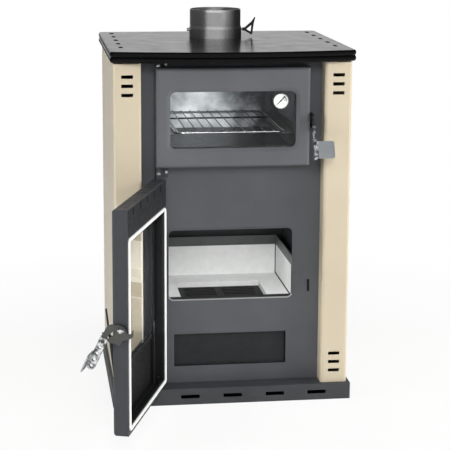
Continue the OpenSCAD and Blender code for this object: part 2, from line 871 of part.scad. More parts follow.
// A closed loop of round rod in X and Y, with bent corners.
module rod_loop(w, h, r, d) {
    for (s = [-1, 1]) {
        translate([0, s * h / 2, 0]) pin(-w / 2 + r, w / 2 - r, d);
        translate([s * w / 2, 0, 0]) rotate([0, 0, 90]) pin(-h / 2 + r, h / 2 - r, d);
    }
    for (i = [0:3])
        translate([(i == 0 || i == 3 ? 1 : -1) * (w / 2 - r), (i < 2 ? 1 : -1) * (h / 2 - r), 0])
            rotate([0, 0, 90 * i]) rotate_extrude(angle = 90) translate([r, 0]) circle(d = d);
}

rack_front = panel_back + 3 * rail_d;
rack_d = oven_back - oven_t - 3 * rail_d - rack_front;
rack_wires = floor((rack_w - 2 * rail_d) / rack_pitch) + 1;
cross_share = 0.68;    // place of the rack's cross bar along its depth

module oven_rack() {
    wire_z = rack_z + (rail_d + wire_d) / 2 - wire_d / 6;
    color(bright) {
        translate([0, rack_front + rack_d / 2, rack_z]) rod_loop(rack_w - rail_d, rack_d, 4 * rail_d, rail_d);
        translate([0, rack_front + cross_share * rack_d, rack_z])
            pin(-rack_w / 2 + rail_d / 2, rack_w / 2 - rail_d / 2, rail_d);
        for (i = [0:rack_wires - 1])
            translate([(i - (rack_wires - 1) / 2) * rack_pitch, rack_front - rail_d / 2, wire_z])
                rotate([-90, 0, 0]) cylinder(h = rack_d + rail_d, d = wire_d, $fn = 24);
    }
}

// Angle runners on the oven's sides, which the rack slides on.
module oven_runners() {
    t = oven_t;
    z = rack_z - rail_d / 2 - seat;
    w = oven_w / 2;
    inner = rack_w / 2 - 2 * rail_d;
    color(steel) for (s = [0, 1]) mirror([s, 0, 0]) {
        span([inner, rack_front, z - t], [w, rack_front + rack_d, z]);
        span([w - t, rack_front, z - t], [w, rack_front + rack_d, z + 4 * rail_d]);
    }
}

// Hinges

bracket_t = 2.5;       // plate of a hinge bracket
foot_l = 28;           // how far a bracket reaches along the panel from its pin
lug_w = bush_d;

// Bracket on the panel between heights z0 and z1, with pins from p0 to p1.
module hinge_bracket(z0, z1, p0, p1) {
    color(grey_dark) {
        span([hinge_x - lug_w / 2, panel_front - bracket_t, z0], [hinge_x + foot_l, panel_front, z1]);
        span([hinge_x - lug_w / 2, hinge_y - lug_w / 2, z0], [hinge_x + lug_w / 2, panel_front, z1]);
        translate([hinge_x, hinge_y, p0]) cylinder(h = p1 - p0, d = pin_d);
    }
}

fire_door_top = fire_door_z + fire_door_h;
oven_door_top = oven_door_z + oven_door_h;

module hinge_bracket_top()
    hinge_bracket(oven_door_top + seat, body_top - seat, oven_door_top - pin_l, oven_door_top + seat);

module hinge_bracket_middle()
    hinge_bracket(fire_door_top + seat, oven_door_z - seat, fire_door_top - pin_l, oven_door_z + pin_l);

module hinge_bracket_bottom() {
    color(grey_dark) translate([hinge_x, hinge_y, plinth_h]) {
        span([-lug_w, -lug_w, 0], [foot_l, panel_front - hinge_y, bracket_t]);
        cylinder(h = door_gap - seat, d = lug_w);
        cylinder(h = door_gap + pin_l, d = pin_d);
    }
}

module hinge_screws() {
    color(bright) for (z = [(oven_door_top + body_top) / 2, (fire_door_top + oven_door_z) / 2]) {
        translate([hinge_x, hinge_y - lug_w / 2, z]) screw_head();
        translate([hinge_x + foot_l - lug_w / 2, panel_front - bracket_t, z]) screw_head();
    }
}

// Doors

module at_fire_door() {
    translate([hinge_x, hinge_y, fire_door_z]) rotate([0, 0, -fire_door_open]) children();
}

module at_oven_door() {
    translate([hinge_x, hinge_y, oven_door_z]) children();
}

module rope_loop(top, d) {
    w = rope_x1 - rope_x0;
    h = top - rope_foot_in;
    translate([rope_x0 + w / 2, rope_y, rope_foot_in + h / 2]) rotate([90, 0, 0])
        rod_loop(w, h, rope_d, d);
}

// Sloped border pressed round a window, in X and Z about the window's middle.
module pressed_border(w, h) {
    t = door_sheet;
    p = press_w;
    $fn = 32;
    difference() {
        hull() {
            upright(door_face, door_face + t) round_rect(w + 2 * p + 2 * t, h + 2 * p + 2 * t, win_r + p + t);
            upright(glass_y - t, glass_y) round_rect(w + 2 * t, h + 2 * t, win_r + t);
        }
        hull() {
            upright(door_face - cut, door_face) round_rect(w + 2 * p, h + 2 * p, win_r + p);
            upright(glass_y - t, glass_y - t + seat) round_rect(w, h, win_r);
        }
        upright(glass_y - t, glass_y + cut) round_rect(w, h, win_r);
    }
}

// Folded tray with a window, bushes for the hinge pins and a band that holds the rope.
module door_shell(h, win_w, win_h, win_up, rope_top, duct) {
    t = door_sheet;
    color(grey) difference() {
        union() {
            difference() {
                translate([door_x0, door_face, 0]) round_faced_block(door_w, door_t, h, door_r);
                translate([door_x0 + t, door_face + t, t])
                    round_faced_block(door_w - 2 * t, door_t - t - band_t, h - 2 * t, door_r - t);
                span([rope_x0 + band_lip, door_back - band_t - cut, rope_foot_in + band_lip],
                     [rope_x1 - band_lip, door_back + cut, rope_top - band_lip]);
                if (duct) {
                    span([door_x0 + t, door_back - band_t - cut, rope_top + band_lip],
                         [door_x1 - t, door_back + cut, h - t]);
                    for (i = [0:louvres - 1])
                        translate([door_mid + (i - (louvres - 1) / 2) * louvre_pitch, 0, 0])
                            span([-louvre_w / 2, door_face + 2 / 3 * door_r, h - t - cut],
                                 [louvre_w / 2, door_back - band_t, h + cut]);
                }
                translate([door_mid, 0, win_up + win_h / 2]) upright(door_face - cut, door_face + t + cut)
                    round_rect(win_w + 2 * press_w + t, win_h + 2 * press_w + t, win_r + press_w + t / 2);
            }
            translate([door_mid, 0, win_up + win_h / 2]) pressed_border(win_w, win_h);
            for (z = [0, h - pin_l]) translate([0, 0, z]) cylinder(h = pin_l, d = bush_d);
        }
        translate([0, 0, -cut]) cylinder(h = pin_l + 2 * cut, d = pin_d + 2 * pin_clear);
        translate([0, 0, h - pin_l - cut]) cylinder(h = pin_l + 2 * cut, d = pin_d + 2 * pin_clear);
        rope_loop(rope_top, rope_d + 2 / 3 * seat);
        translate([0, pivot_y, duct ? fire_pivot_up : oven_pivot_up])
            pin(door_x1 - t - cut, door_x1 + cut, pivot_d);
    }
}

module door_glass(win_w, win_h, win_up) {
    g = press_w + glass_lap;
    color("#9fb0ae", 0.4) span([door_mid - win_w / 2 - g, glass_y, win_up - g],
                               [door_mid + win_w / 2 + g, glass_y + glass_t, win_up + win_h + g]);
}

fire_rope_top = fire_door_h - duct_h - rope_free_in;
oven_rope_top = oven_door_h - rope_foot_in;

module fire_door_shell()
    at_fire_door() door_shell(fire_door_h, fire_win_w, fire_win_h, fire_win_up, fire_rope_top, true);

// Cover of the air duct, with a bent lip beside each of its slits.
module fire_door_air_cover() {
    t = door_sheet;
    z0 = fire_rope_top + band_lip;
    z1 = fire_door_h - t;
    slit = fire_door_h - duct_h / 3;
    color(door_black) at_fire_door() difference() {
        union() {
            span([door_x0 + t, door_back - t, z0], [door_x1 - t, door_back, z1]);
            for (i = [-2:2])
                translate([door_mid + i * slit_pitch_share * door_w, 0, 0])
                    span([t, door_back - t, slit], [2 * t, door_back + t, z1 - t]);
        }
        for (i = [-2:2])
            translate([door_mid + i * slit_pitch_share * door_w, 0, 0])
                span([-t / 2, door_back - t - cut, slit], [t, door_back + cut, z1 - t]);
    }
}

module fire_door_glass() at_fire_door() door_glass(fire_win_w, fire_win_h, fire_win_up);

// Strip that clamps an edge of the glass at z = 0; its foot lies on the door's skin.
module glass_rail(l, foot) {
    t = door_sheet;
    y = glass_y + glass_t;
    span([-l / 2, y, -3 * t], [l / 2, y + t, 3 * t]);
    span([-l / 2, door_face + t, -3 * t], [l / 2, y, -2 * t]);
    span([-l / 2, door_face + t, -foot], [l / 2, door_face + 2 * t, -2 * t]);
}

module rail_places(win_w, win_h, win_up) {
    g = press_w + glass_lap;
    translate([door_mid, 0, win_up + win_h / 2]) {
        for (a = [0, 180]) rotate([0, a, 0]) translate([0, 0, -win_h / 2 - g]) children(0);
        if ($children > 1)
            for (a = [90, -90]) rotate([0, a, 0]) translate([0, 0, -win_w / 2 - g]) children(1);
    }
}

rail_share = 0.9;      // length of the glass rails, as a share of the window
clip_screw_share = 0.37;  // spacing of their screws, as a share of the window

module fire_door_glass_clips() {
    color(door_black) at_fire_door() rail_places(fire_win_w, fire_win_h, fire_win_up) {
        glass_rail(rail_share * fire_win_w, 8 * door_sheet);
        glass_rail(rail_share * fire_win_h, 5 * door_sheet);
    }
}

module fire_door_screws() {
    color(bright) at_fire_door() rail_places(fire_win_w, fire_win_h, fire_win_up)
        for (i = [-1:1])
            translate([i * clip_screw_share * fire_win_w, door_face + 2 * door_sheet, -5 * door_sheet])
                rotate([0, 0, 180]) screw_head(3 / 4 * screw_d, 3 / 4 * screw_h);
}

module fire_door_rope() color(rope_white) at_fire_door() rope_loop(fire_rope_top, rope_d);

guard_foot_share = 0.25;  // the guard strip's foot and top, as shares of the door's height
guard_top_share = 0.557;
web_share = 0.62;      // how far its web reaches up between the two
guard_out = 20;        // how far the guard strip leans out at its top
guard_w = 20;          // width of the guard strip at its foot
guard_tip_w = 8;       // width of the guard strip at its top
guard_t = 2;           // thickness of the guard strip

// Springy strip by the free edge: screwed on at its foot, leaning out and narrower at its top,
// with a web along the free edge between its lower part and the door.
module fire_door_guard() {
    z0 = guard_foot_share * fire_door_h;
    z1 = guard_top_share * fire_door_h;
    zw = z0 + web_share * (z1 - z0);
    x = door_x1 - 2 * door_r;
    y = door_face;
    color(door_black) at_fire_door() {
        intersection() {
            sideways(x - guard_w, x) polygon([
                [y, z0 - guard_w], [y, z0], [y - guard_out, z1],
                [y - guard_out - guard_t, z1], [y - guard_t, z0], [y - guard_t, z0 - guard_w]
            ]);
            upright(y - guard_out - guard_w, y + cut) polygon([
                [x - guard_w, z0 - guard_w], [x, z0 - guard_w], [x, z1],
                [x - guard_tip_w, z1], [x - guard_w, z0]
            ]);
        }
        sideways(x - guard_t, x)
            polygon([[y, z0], [y, zw], [y - web_share * guard_out - guard_t / 2, zw], [y - guard_t / 2, z0]]);
    }
}

// Latches

hook_l = door_back - pivot_y + door_clear + 7 / 2 * panel_t;   // reach of the hook behind the pivot

// Outlines in [out, up] from the pivot, as shares of the hook's reach
hook_shares = [
    [0.35, 0.13], [0, 0.39], [-0.29, 0.26], [-0.39, 0], [-0.48, -0.23], [-0.7, -0.29], [-0.85, -0.2],
    [-1, 0.1], [-1, -0.45], [-0.85, -0.58], [-0.58, -0.7], [-0.2, -0.8], [0.13, -1.25], [0.55, -1.08],
    [0.9, -1.08], [1.13, -0.82], [0.7, -0.5], [0.45, -0.2]
];
lever_shares = [
    [0.26, 0.4], [0.8, 0.4], [1.13, 0.26], [1.35, -0.13], [1.54, -0.48], [1.85, -1.35], [1.42, -1.5],
    [1.11, -0.62], [0.92, -0.36], [0.68, -0.18], [0.4, -0.22], [0.16, -0.36], [-0.13, -0.36],
    [-0.36, -0.15], [-0.39, 0.1], [-0.26, 0.31], [0, 0.4]
];
grip_at = [1.37, -0.7] * hook_l;

module latch_plate(x, shares) {
    difference() {
        sideways(x, x + latch_t) polygon([for (p = shares) [-p.x, p.y] * hook_l]);
        pin(x - cut, x + latch_t + cut, pivot_d + 2 * pin_clear);
    }
}

grip_t = 1.5;          // wall of the grip channel
grip_holes = 5;
grip_hole_share = 0.45;  // diameter of its holes, as a share of its width

// Channel with a round end, in Y and Z below its top.
module grip_outline(e) {
    r = grip_w / 2;
    translate([-r + e, -grip_l + r]) square([2 * r - 2 * e, grip_l - r + (e > 0 ? 2 * cut : 0)]);
    translate([0, -grip_l + r]) circle(r - e);
}

// Channel on the lever plate, with a thumb plate beside its lower half.
module latch_grip() {
    play = grip_t / 3;
    x0 = lever_x - play - grip_t;
    x1 = lever_x + latch_t + play + grip_t;
    pitch = (grip_l - grip_w) / (grip_holes - 1);
    r = thumb_h / 8;
    color(bright) translate([0, -grip_at.x, grip_at.y]) rotate([-grip_lean, 0, 0]) difference() {
        union() {
            sideways(x0, x1) grip_outline(0);
            translate([x1 - 2 * grip_t + thumb_w / 2, 0, -grip_l + grip_t + thumb_h / 2]) {
                upright(-grip_w / 2 - grip_t, -grip_w / 2 + grip_t / 2) round_rect(thumb_w, thumb_h, r);
                upright(-grip_w / 2 - 5 / 3 * grip_t, -grip_w / 2) difference() {
                    round_rect(thumb_w, thumb_h, r);
                    round_rect(thumb_w - r, thumb_h - r, r / 2);
                }
            }
        }
        sideways(x0 + grip_t, x1 - grip_t) grip_outline(grip_t);
        span([x0 + grip_t, grip_w / 2 - 2 * grip_t, -grip_l + grip_w], [x1 - grip_t, grip_w / 2 + cut, cut]);
        for (i = [0:grip_holes - 1])
            translate([0, 0, -grip_w / 2 - i * pitch]) pin(x0 - cut, x1 + cut, grip_hole_share * grip_w);
    }
}

module latch_bolt() {
    head_x = hook_x + latch_t + seat / 2;
    d = 8 / 5 * pivot_d;
    color(bright) {
        pin(door_x1, door_x1 + spacer_l, d);
        pin(door_x1 - door_sheet - latch_t, head_x, pivot_d);
        pin(door_x1 - door_sheet - latch_t, door_x1 - door_sheet, d);
        pin(head_x, head_x + latch_t / 2, d);
        translate([head_x + latch_t / 2, 0, 0]) rotate([0, 90, 0])
            cylinder(h = 2 / 3 * latch_t, d1 = d, d2 = d / 2);
    }
}

module at_fire_latch() at_fire_door() translate([0, pivot_y, fire_pivot_up]) children();
module at_oven_latch() at_oven_door() translate([0, pivot_y, oven_pivot_up]) children();

module fire_latch_bolt() at_fire_latch() latch_bolt();
module fire_latch_hook() color(steel) at_fire_latch() latch_plate(hook_x, hook_shares);
module fire_latch_lever() color(steel) at_fire_latch() latch_plate(lever_x, lever_shares);
module fire_latch_grip() at_fire_latch() latch_grip();
module oven_latch_bolt() at_oven_latch() latch_bolt();
module oven_latch_hook() color(steel) at_oven_latch() latch_plate(hook_x, hook_shares);
module oven_latch_lever() color(steel) at_oven_latch() latch_plate(lever_x, lever_shares);
module oven_latch_grip() at_oven_latch() latch_grip();

// Oven door

module oven_door_shell()
    at_oven_door() door_shell(oven_door_h, oven_win_w, oven_win_h, oven_win_up, oven_rope_top, false);

module oven_door_frame() {
    t = door_sheet;
    color(steel) at_oven_door() difference() {
        span([rope_x0 + band_lip, door_back - t, rope_foot_in + band_lip],
             [rope_x1 - band_lip, door_back, oven_rope_top - band_lip]);
        translate([door_mid, 0, oven_win_up + oven_win_h / 2]) upright(door_back - t - cut, door_back + cut)
            round_rect(oven_win_w, oven_win_h, win_r);
    }
}

dial_place = [door_mid + oven_win_w / 2 - dial_in, glass_y, oven_win_up + oven_win_h - dial_down];
stem_d = 8;

module oven_door_glass() {
    at_oven_door() difference() {
        door_glass(oven_win_w, oven_win_h, oven_win_up);
        bore_back(dial_place, glass_t, stem_d);
    }
}

module oven_door_rope() color(rope_white) at_oven_door() rope_loop(oven_rope_top, rope_d);

can_h = 8;             // depth of the thermometer's case
can_t = 1.5;           // wall of its case
needle_share = 0.36;   // length of the needle on each side, as a share of the dial

module at_dial() at_oven_door() translate(dial_place) rotate([90, 0, 0]) children();

// Case with a flat back, a rolled bezel, a stem through the glass and two ears on top.
module thermometer_case() {
    r = dial_d / 2;
    color(bright) at_dial() {
        difference() {
            union() {
                cylinder(h = can_h, r = r - can_t / 2);
                translate([0, 0, can_h - can_t]) cylinder(h = can_t, r = r);
                for (a = [50, 130])
                    rotate([0, 0, a]) translate([r, 0, can_h / 2])
                        cylinder(h = can_h / 2 - can_t / 2, r = 2 * can_t);
            }
            translate([0, 0, can_t]) cylinder(h = can_h, r = r - 2 * can_t);
        }
        translate([0, 0, -glass_t - 2 * can_t]) cylinder(h = glass_t + 2 * can_t, d = stem_d);
        translate([0, 0, -glass_t - 2 * can_t]) cylinder(h = 2 * can_t, d = 3 / 2 * stem_d);
        translate([0, 0, -glass_t - 2 * can_t - stem_d]) cylinder(h = stem_d, d = stem_d / 2);
    }
}

module thermometer_dial() {
    color("white") at_dial() translate([0, 0, can_t]) cylinder(h = can_t, r = dial_d / 2 - 2 * can_t);
}

module thermometer_needle() {
    w = can_t / 2;
    l = needle_share * dial_d;
    color(black) at_dial() translate([0, 0, 2 * can_t + seat]) {
        cylinder(h = can_t, d = 3 * can_t);
        rotate([0, 0, 45]) linear_extrude(can_t / 2)
            polygon([[-l, -w / 3], [-l, w / 3], [0, w], [l, w], [l, -w], [0, -w]]);
    }
}

module thermometer_lens() {
    color("white", 0.3) at_dial() translate([0, 0, can_h - can_t])
        cylinder(h = can_t / 2, r = dial_d / 2 - 2 * can_t);
}

base_pan();
plinth();
front_panel();
column_left();
column_right();
side_panel_left();
side_panel_right();
back_panel();
top_frame();
hob_plate();
hob_rim();
flue_collar();
flue_casing();
boiler_vessel();
boiler_inner_wall();
flow_socket();
return_socket();
oven_box();
oven_runners();
baffle_plate();
firebrick_back();
firebrick_left();
firebrick_right();
brick_retainer();
hearth();
grate();
ash_box();
ash_skirt();
hinge_bracket_top();
hinge_bracket_middle();
hinge_bracket_bottom();
hinge_screws();
panel_screws();
fire_door_shell();
fire_door_air_cover();
fire_door_glass();
fire_door_glass_clips();
fire_door_screws();
fire_door_rope();
fire_door_guard();
fire_latch_bolt();
fire_latch_hook();
fire_latch_lever();
fire_latch_grip();
oven_door_shell();
oven_door_frame();
oven_door_glass();
oven_door_rope();
thermometer_case();
thermometer_dial();
thermometer_lens();
thermometer_needle();
oven_latch_bolt();
oven_latch_hook();
oven_latch_lever();
oven_latch_grip();
oven_rack();
ash_pan();
damper_disc();
damper_handle();
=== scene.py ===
"""Wood-fired boiler stove: finishes, rope seals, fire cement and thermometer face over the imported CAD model.

Metres. +Z is up and the front faces -Y, as in the CAD. The firebox door stands open.
"""
import json
import math

import bpy
import numpy as np
from mathutils import Matrix, Vector


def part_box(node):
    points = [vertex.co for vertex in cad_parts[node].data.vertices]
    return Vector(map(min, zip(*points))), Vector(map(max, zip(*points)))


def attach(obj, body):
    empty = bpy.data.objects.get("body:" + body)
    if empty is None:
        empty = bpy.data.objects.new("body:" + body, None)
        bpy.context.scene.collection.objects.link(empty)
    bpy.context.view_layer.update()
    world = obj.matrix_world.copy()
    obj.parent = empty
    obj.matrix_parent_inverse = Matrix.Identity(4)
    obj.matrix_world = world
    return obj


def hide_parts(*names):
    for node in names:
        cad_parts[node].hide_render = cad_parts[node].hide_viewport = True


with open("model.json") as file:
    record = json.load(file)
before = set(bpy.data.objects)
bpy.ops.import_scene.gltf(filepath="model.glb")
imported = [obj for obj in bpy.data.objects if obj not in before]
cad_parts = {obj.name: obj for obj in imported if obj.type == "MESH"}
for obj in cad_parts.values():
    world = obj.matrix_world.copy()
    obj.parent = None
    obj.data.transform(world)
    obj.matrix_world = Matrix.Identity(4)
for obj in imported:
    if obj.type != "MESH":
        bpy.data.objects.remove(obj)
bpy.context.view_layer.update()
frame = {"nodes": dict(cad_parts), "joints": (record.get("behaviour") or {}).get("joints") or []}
nodes = frame["nodes"]

MM = 0.001


# Camera, fitted to the photograph's view: in front, to the left and a little above the hob

CAMERA_PLACE = (-0.546, -4.108, 1.354)
CAMERA_PAN = math.radians(-7.76)
CAMERA_TILT = math.radians(-10.78)
CAMERA_ROLL = math.radians(0.30)
CAMERA_LENS = 119.0
CAMERA_SENSOR = 36
CAMERA_SHIFT_Y = -0.1

camera = bpy.data.objects.new("camera", bpy.data.cameras.new("camera"))
bpy.context.scene.collection.objects.link(camera)
camera.data.lens = CAMERA_LENS
camera.data.sensor_width = CAMERA_SENSOR
camera.data.shift_y = CAMERA_SHIFT_Y
camera.matrix_world = (
    Matrix.Translation(CAMERA_PLACE)
    @ Matrix.Rotation(CAMERA_PAN, 4, "Z")
    @ Matrix.Rotation(math.pi / 2 + CAMERA_TILT, 4, "X")
    @ Matrix.Rotation(CAMERA_ROLL, 4, "Z")
)
bpy.context.scene.camera = camera
bpy.context.scene.view_settings.view_transform = "Standard"


# Materials

# Most values of a noise texture lie in this span
USUAL_SPAN = USUAL_LOW, USUAL_HIGH = 0.3, 0.7


def linear(code):
    """sRGB hex code to linear red, green, blue and alpha: the standard's power curve above its short straight foot."""
    rgb = np.array([int(code[i:i + 2], 16) for i in (1, 3, 5)]) / 255
    rgb = np.where(rgb <= 0.04045, rgb / 12.92, ((rgb + 0.055) / 1.055) ** 2.4)
    return (*rgb.tolist(), 1.0)


def add(tree, kind, links=None, **settings):
    """Adds a node. links maps an input's name or number to a value or to another node's output socket."""
    node = tree.nodes.new(kind)
    for name, value in settings.items():
        setattr(node, name, value)
    for key, value in (links or {}).items():
        if isinstance(value, bpy.types.NodeSocket):
            tree.links.new(value, node.inputs[key])
        else:
            node.inputs[key].default_value = value
    return node


def start(name, levels):
    """A new material with its tree, its Principled shader and the object's own coordinates in metres.

    levels gives those of the shader's values that are the same all over the surface.
    """
    material = bpy.data.materials.new(name)
    material.use_nodes = True
    tree = material.node_tree
    shader = tree.nodes["Principled BSDF"]
    for key, value in levels.items():
        shader.inputs[key].default_value = value
    place = add(tree, "ShaderNodeTexCoord").outputs["Object"]
    return material, tree, shader, place


def mottle(tree, shader, place, size, detail=3, fine=0.5, tones=None, span=USUAL_SPAN, haze=None, depth=None):
    """Soft random lumps about size metres wide, which drive as much of the surface as is given.

    detail and fine say how many finer lumps lie on them and how much these count. tones are the two colours between
    which the surface changes, over a span of the lumps' field. haze is its lowest and highest roughness over the
    usual span, and depth is the height in metres of a change of 1 in the field.
    """
    field = add(
        tree, "ShaderNodeTexNoise",
        {"Vector": place, "Scale": 1 / size, "Detail": detail, "Roughness": fine},
    ).outputs["Fac"]
    if tones:
        share = add(
            tree, "ShaderNodeMapRange", {"Value": field, "From Min": span[0], "From Max": span[1]},
        ).outputs["Result"]
        first, second = (linear(code) for code in tones)
        colour = add(tree, "ShaderNodeMix", {0: share, 6: first, 7: second}, data_type="RGBA").outputs[2]
        tree.links.new(colour, shader.inputs["Base Color"])
    if haze:
        rough = add(
            tree, "ShaderNodeMapRange",
            {"Value": field, "From Min": USUAL_LOW, "From Max": USUAL_HIGH, "To Min": haze[0], "To Max": haze[1]},
        ).outputs["Result"]
        tree.links.new(rough, shader.inputs["Roughness"])
    if depth:
        relief = add(tree, "ShaderNodeBump", {"Height": field, "Distance": depth, "Strength": 1.0})
        tree.links.new(relief.outputs["Normal"], shader.inputs["Normal"])


def lay_over(tree, shader, code, share):
    """Lays a second colour over what the shader shows, from none of it where share is 0 to all of it where it is 1."""
    under = shader.inputs["Base Color"].links[0].from_socket
    colour = add(tree, "ShaderNodeMix", {0: share, 6: under, 7: linear(code)}, data_type="RGBA").outputs[2]
    tree.links.new(colour, shader.inputs["Base Color"])


def powder_coat(name, code, shade, rough, peel=0.012 * MM):
    """Powder coat on sheet steel, sprayed and baked: an even satin sheen and hardly any change of colour.

    peel is the depth of its fine orange peel.
    """
    material, tree, shader, place = start(name, {"Specular IOR Level": 0.45})
    mottle(tree, shader, place, size=160 * MM, detail=2, tones=(code, shade))
    mottle(tree, shader, place, size=40 * MM, haze=(rough - 0.04, rough + 0.04))
    mottle(tree, shader, place, size=0.9 * MM, detail=2, depth=peel)
    return material


def heat_paint(name, code, shade, rough):
    """Matt stove paint, baked on plate: a dry, finely pitted face with faint cloudy patches."""
    material, tree, shader, place = start(name, {"Specular IOR Level": 0.35})
    mottle(tree, shader, place, size=70 * MM, detail=4, fine=0.6, tones=(code, shade))
    mottle(tree, shader, place, size=12 * MM, haze=(rough - 0.07, rough + 0.07))
    mottle(tree, shader, place, size=0.7 * MM, depth=0.03 * MM)
    return material


def enamel(name, code, rough, sheen):
    """Vitreous enamel fired on the hob: black glass with a faint long ripple in its reflections.

    sheen is the strength of these reflections.
    """
    material, tree, shader, place = start(name, {"Base Color": linear(code), "Specular IOR Level": sheen})
    mottle(tree, shader, place, size=60 * MM, detail=4, haze=(rough, rough + 0.06))
    mottle(tree, shader, place, size=45 * MM, detail=2, depth=0.05 * MM)
    return material


def brushed_steel(name, code, shade, rough, along):
    """Steel drawn through a brushing belt: fine streaks along one direction.

    Real ones are about 0.1 mm apart. They are drawn 0.4 mm apart and 60 mm long, so that they show.
    """
    material, tree, shader, place = start(name, {"Metallic": 1.0})
    stretch = [1 / (0.4 * MM)] * 3
    stretch["XYZ".index(along)] = 1 / (60 * MM)
    streaks = add(tree, "ShaderNodeMapping", {"Vector": place, "Scale": stretch}).outputs["Vector"]
    mottle(
        tree, shader, streaks, size=1, tones=(code, shade), haze=(rough - 0.06, rough + 0.08), depth=0.01 * MM,
    )
    return material


def reflection_painted_steel(name, code, shade, painted_dark_code, rough):
    """Oven back of rolled steel with a painted reflection: bright and cloudy on the left, painted dark to the right.

    The painted dark grows to the right as a smooth step, from the middle on. Soft noise moves its edge.
    """
    material, tree, shader, place = start(name, {"Metallic": 0.5, "Roughness": rough})
    step, wander = 150 * MM, 70 * MM
    mottle(tree, shader, place, size=60 * MM, detail=4, tones=(code, shade))
    mottle(tree, shader, place, size=3 * MM, depth=0.02 * MM)
    across = add(tree, "ShaderNodeSeparateXYZ", {"Vector": place}).outputs["X"]
    field = add(
        tree, "ShaderNodeTexNoise", {"Vector": place, "Scale": 1 / (90 * MM), "Detail": 4, "Roughness": 0.6},
    ).outputs["Fac"]
    drift = add(
        tree, "ShaderNodeMapRange",
        {"Value": field, "From Min": USUAL_LOW, "From Max": USUAL_HIGH, "To Min": -wander, "To Max": wander},
    ).outputs["Result"]
    edge = add(tree, "ShaderNodeMath", {0: across, 1: drift}, operation="ADD").outputs[0]
    painted_dark_share = add(
        tree, "ShaderNodeMapRange",
        {"Value": edge, "From Min": 0, "From Max": step}, interpolation_type="SMOOTHSTEP",
    ).outputs["Result"]
    lay_over(tree, shader, painted_dark_code, painted_dark_share)
    return material


def chrome(name, code, rough):
    """Chrome plate over pressed steel: a mirror with a trace of polishing haze."""
    material, tree, shader, place = start(name, {"Base Color": linear(code), "Metallic": 1.0})
    mottle(tree, shader, place, size=6 * MM, detail=4, haze=(rough, rough + 0.08))
    mottle(tree, shader, place, size=9 * MM, detail=2, depth=0.01 * MM)
    return material


def reflection_patch_chrome(name, code, shade, rough):
    """Chrome plate on a pressed channel: soft patches of painted reflection and shade change its colour and haze."""
    material, tree, shader, place = start(name, {"Metallic": 1.0})
    mottle(
        tree, shader, place, size=11 * MM, detail=2,
        tones=(code, shade), span=(0.38, 0.62), haze=(rough, rough + 0.15), depth=0.06 * MM,
    )
    return material


def cast_iron(name, code, shade):
    """Sand-cast iron: a dark skin of sand grain with dull high spots."""
    material, tree, shader, place = start(name, {"Metallic": 0.4, "Roughness": 0.6})
    mottle(tree, shader, place, size=1.4 * MM, detail=4, fine=0.6, tones=(code, shade), depth=0.12 * MM)
    return material


def fire_clay(name, code, shade, shade_depth=0):
    """Pressed fire-clay brick: chalky and pale, with a sandy grain and thin pores.

    Its front edge is darkened with painted shade to the given depth behind the front panel.
    """
    material, tree, shader, place = start(name, {"Roughness": 0.9})
    mottle(tree, shader, place, size=22 * MM, detail=5, fine=0.65, tones=(code, shade))
    mottle(tree, shader, place, size=1.6 * MM, detail=4, fine=0.7, depth=0.15 * MM)
    # Painted shade along the front edge, just behind the panel's opening
    if shade_depth:
        depth = add(tree, "ShaderNodeSeparateXYZ", {"Vector": place}).outputs["Y"]
        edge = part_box("front_panel")[1][1] + shade_depth
        front_shade = add(
            tree, "ShaderNodeMapRange",
            {"Value": depth, "From Min": edge - 0.5 * MM, "From Max": edge + 0.5 * MM, "To Min": 1, "To Max": 0},
        ).outputs["Result"]
        lay_over(tree, shader, "#2b2b2a", front_shade)
    return material


def glass_rope(name, code, shade):
    """Braided glass-fibre rope: white yarns, greyer in the valleys between them, with a soft fibrous sheen."""
    material, tree, shader, place = start(name, {"Roughness": 0.95, "Sheen Weight": 0.3})
    mottle(tree, shader, place, size=1.1 * MM, fine=0.6, tones=(code, shade), depth=0.2 * MM)
    return material


def ceramic_glass(name, code, rough):
    """Clear ceramic stove glass, drawn flat: hardly any tint, with a sharp reflection."""
    material, tree, shader, place = start(name, {"Base Color": linear(code), "Transmission Weight": 1.0, "IOR": 1.45})
    mottle(tree, shader, place, size=30 * MM, haze=(rough, rough + 0.02))
    return material


def printed_face(name, code, shade):
    """Printed sheet metal dial: flat lacquer, a trace darker or lighter in soft patches."""
    material, tree, shader, place = start(name, {"Roughness": 0.5})
    mottle(tree, shader, place, size=8 * MM, detail=2, tones=(code, shade))
    return material


cream_coat = powder_coat("cream_powder_coat", "#d1c5ad", "#cdc0a8", 0.42)
# Painted shade: a greyer copy of the columns' cream coat for the side panels
side_shaded_coat = powder_coat("side_powder_coat_painted_shade", "#cfc6b6", "#ccc3b2", 0.42)
panel_coat = powder_coat("graphite_powder_coat", "#56585c", "#505256", 0.55, peel=0.02 * MM)
door_coat = powder_coat("oven_door_graphite_powder_coat", "#626468", "#5b5d60", 0.5, peel=0.02 * MM)
# Painted shade: a darker copy of the graphite coat for the open fire door's shell
fire_door_shaded_coat = powder_coat("fire_door_graphite_coat_painted_shade", "#404246", "#3b3d41", 0.5, peel=0.02 * MM)
plinth_coat = powder_coat("plinth_powder_coat", "#3f4144", "#3a3c3f", 0.55)
black_paint = heat_paint("black_stove_paint", "#2a2b2d", "#222325", 0.6)
# Painted shade and soot for the inside of the door trays
door_inside_shade_and_soot = heat_paint("door_inside_painted_shade_and_soot", "#242425", "#1f1f20", 0.6)
boiler_paint = heat_paint("boiler_plate_paint", "#37383a", "#2c2d2f", 0.65)
hob_enamel = enamel("black_hob_enamel", "#161616", 0.16, 0.05)
rim_enamel = enamel("black_rim_enamel", "#070707", 0.2, 0.12)
collar_steel = brushed_steel("brushed_collar_steel", "#f0f0f1", "#e4e4e5", 0.28, "Z")
oven_steel = brushed_steel("rolled_oven_steel", "#8f9192", "#7b7d7e", 0.3, "Y")
